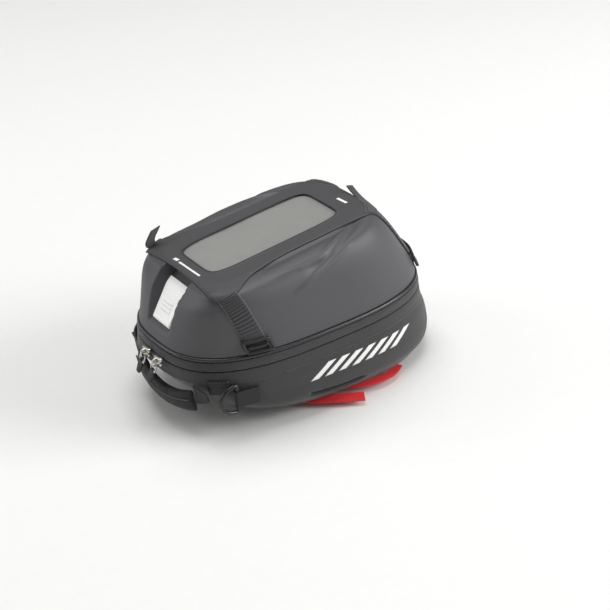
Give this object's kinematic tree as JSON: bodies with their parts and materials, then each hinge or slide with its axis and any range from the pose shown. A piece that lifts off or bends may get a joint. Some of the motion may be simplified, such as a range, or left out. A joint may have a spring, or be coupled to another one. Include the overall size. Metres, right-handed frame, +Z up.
{
  "type": "tank bag",
  "caption": "Moulded oval tank bag for a motorcycle, with a zipped hinged lid, a phone pocket strapped on top, a rear carry handle and a quick-release ring lock underneath",
  "frame": {"origin": "middle of the round lock, on the plane of its foot, where the bag stands", "axes": "+X to the front of the motorcycle, +Y to its left, +Z up"},
  "size_m": [0.2921, 0.1981, 0.159],
  "materials": {
    "eva": "matt thermoformed EVA foam skin",
    "weave": "dense woven polyester with a PU backing",
    "piping": "satin extruded piping",
    "coated": "coated fabric, smooth and matt",
    "window": "clear TPU film, satin",
    "webbing": "ribbed woven webbing",
    "badge": "light grey moulded rubber, satin",
    "black_plastic": "moulded acetal, semi-gloss",
    "board": "rigid polypropylene sheet",
    "nickel": "nickel-plated zinc casting",
    "steel": "zinc-plated steel",
    "pull_rubber": "moulded soft rubber",
    "red_webbing": "plain woven red webbing"
  },
  "bodies": {
    "root": {"base_board": "board", "base_screw_1": "steel", "base_screw_2": "steel", "base_screw_3": "steel", "base_screw_4": "steel", "body_shell": "weave", "body_zip_band": "weave", "body_zip_teeth": "black_plastic", "counter_plate": "steel", "d_ring_tab_left": "webbing", "d_ring_tab_right": "webbing", "handle_anchor_left": "webbing", "handle_anchor_right": "webbing", "jaw_spring_front": "steel", "jaw_spring_rear": "steel", "lid_hinge_strip": "weave", "lock_cover": "black_plastic", "lock_housing": "black_plastic", "lock_seat_pad": "pull_rubber", "side_welt_left": "weave", "side_welt_right": "weave"},
    "lid": {"badge_plate": "badge", "lid_piping": "piping", "lid_shell": "eva", "lid_zip_band": "weave", "lid_zip_teeth": "black_plastic", "pocket_panel": "coated", "pocket_tray": "coated", "pocket_window": "window", "strap_front_left": "webbing", "strap_front_right": "webbing", "strap_loop_front_left": "black_plastic", "strap_loop_front_right": "black_plastic", "strap_loop_rear_left": "black_plastic", "strap_loop_rear_right": "black_plastic", "strap_rear_left": "webbing", "strap_rear_right": "webbing"},
    "handle": {"handle_grip": "webbing", "handle_strap_left": "webbing", "handle_strap_right": "webbing"},
    "d_ring_left": {"d_ring_left": "black_plastic"},
    "d_ring_right": {"d_ring_right": "black_plastic"},
    "zip_slider_left": {"zip_slider_left": "nickel"},
    "zip_slider_right": {"zip_slider_right": "nickel"},
    "zip_pull_left": {"zip_puller_left": "nickel", "zip_tag_left": "pull_rubber"},
    "zip_pull_right": {"zip_puller_right": "nickel", "zip_tag_right": "pull_rubber"},
    "lock_jaw_front": {"lock_jaw_front": "nickel"},
    "lock_jaw_rear": {"lock_jaw_rear": "nickel"},
    "release": {"release_slider": "black_plastic", "release_strap_tail": "red_webbing", "release_strap_front": "red_webbing"}
  },
  "joints": [
    {"name": "lid_hinge", "type": "hinge", "parent": "root", "child": "lid", "pos_m": [0.1401, 0, 0.069], "axis": [0, 1, 0], "range_deg": [0, 100]},
    {"name": "handle_swing", "type": "hinge", "parent": "root", "child": "handle", "pos_m": [-0.127, 0, 0.0555], "axis": [0, 1, 0], "range_deg": [-16, 12]},
    {"name": "d_ring_swing_left", "type": "hinge", "parent": "root", "child": "d_ring_left", "pos_m": [-0.0985, 0.0788, 0.043], "axis": [0, 0, -1], "range_deg": [0, 90]},
    {"name": "d_ring_swing_right", "type": "hinge", "parent": "root", "child": "d_ring_right", "pos_m": [-0.0985, -0.0788, 0.043], "axis": [0, 0, 1], "range_deg": [0, 90]},
    {"name": "zip_slide_left", "type": "slide", "parent": "root", "child": "zip_slider_left", "axis": [0, 1, 0], "range_m": [0, 0.022]},
    {"name": "zip_slide_right", "type": "slide", "parent": "root", "child": "zip_slider_right", "axis": [0, -1, 0], "range_m": [0, 0.01]},
    {"name": "zip_pull_swing_left", "type": "hinge", "parent": "zip_slider_left", "child": "zip_pull_left", "pos_m": [-0.1445, 0.0045, 0.068], "axis": [0, 0.848, 0.5299], "range_deg": [0, 100]},
    {"name": "zip_pull_swing_right", "type": "hinge", "parent": "zip_slider_right", "child": "zip_pull_right", "pos_m": [-0.1445, -0.0165, 0.068], "axis": [0, 0.848, 0.5299], "range_deg": [0, 100]},
    {"name": "release_pull", "type": "slide", "parent": "root", "child": "release", "axis": [0, -1, 0], "range_m": [0, 0.007], "stiffness_N_per_m": 300},
    {"name": "jaw_slide_front", "type": "slide", "parent": "root", "child": "lock_jaw_front", "axis": [1, 0, 0], "range_m": [0, 0.004], "stiffness_N_per_m": 300},
    {"name": "jaw_slide_rear", "type": "slide", "parent": "root", "child": "lock_jaw_rear", "axis": [-1, 0, 0], "range_m": [0, 0.004], "stiffness_N_per_m": 300}
  ],
  "couplings": [
    {"joint": "jaw_slide_front", "follows": "release_pull", "ratio": 0.57143},
    {"joint": "jaw_slide_rear", "follows": "release_pull", "ratio": 0.57143}
  ]
}
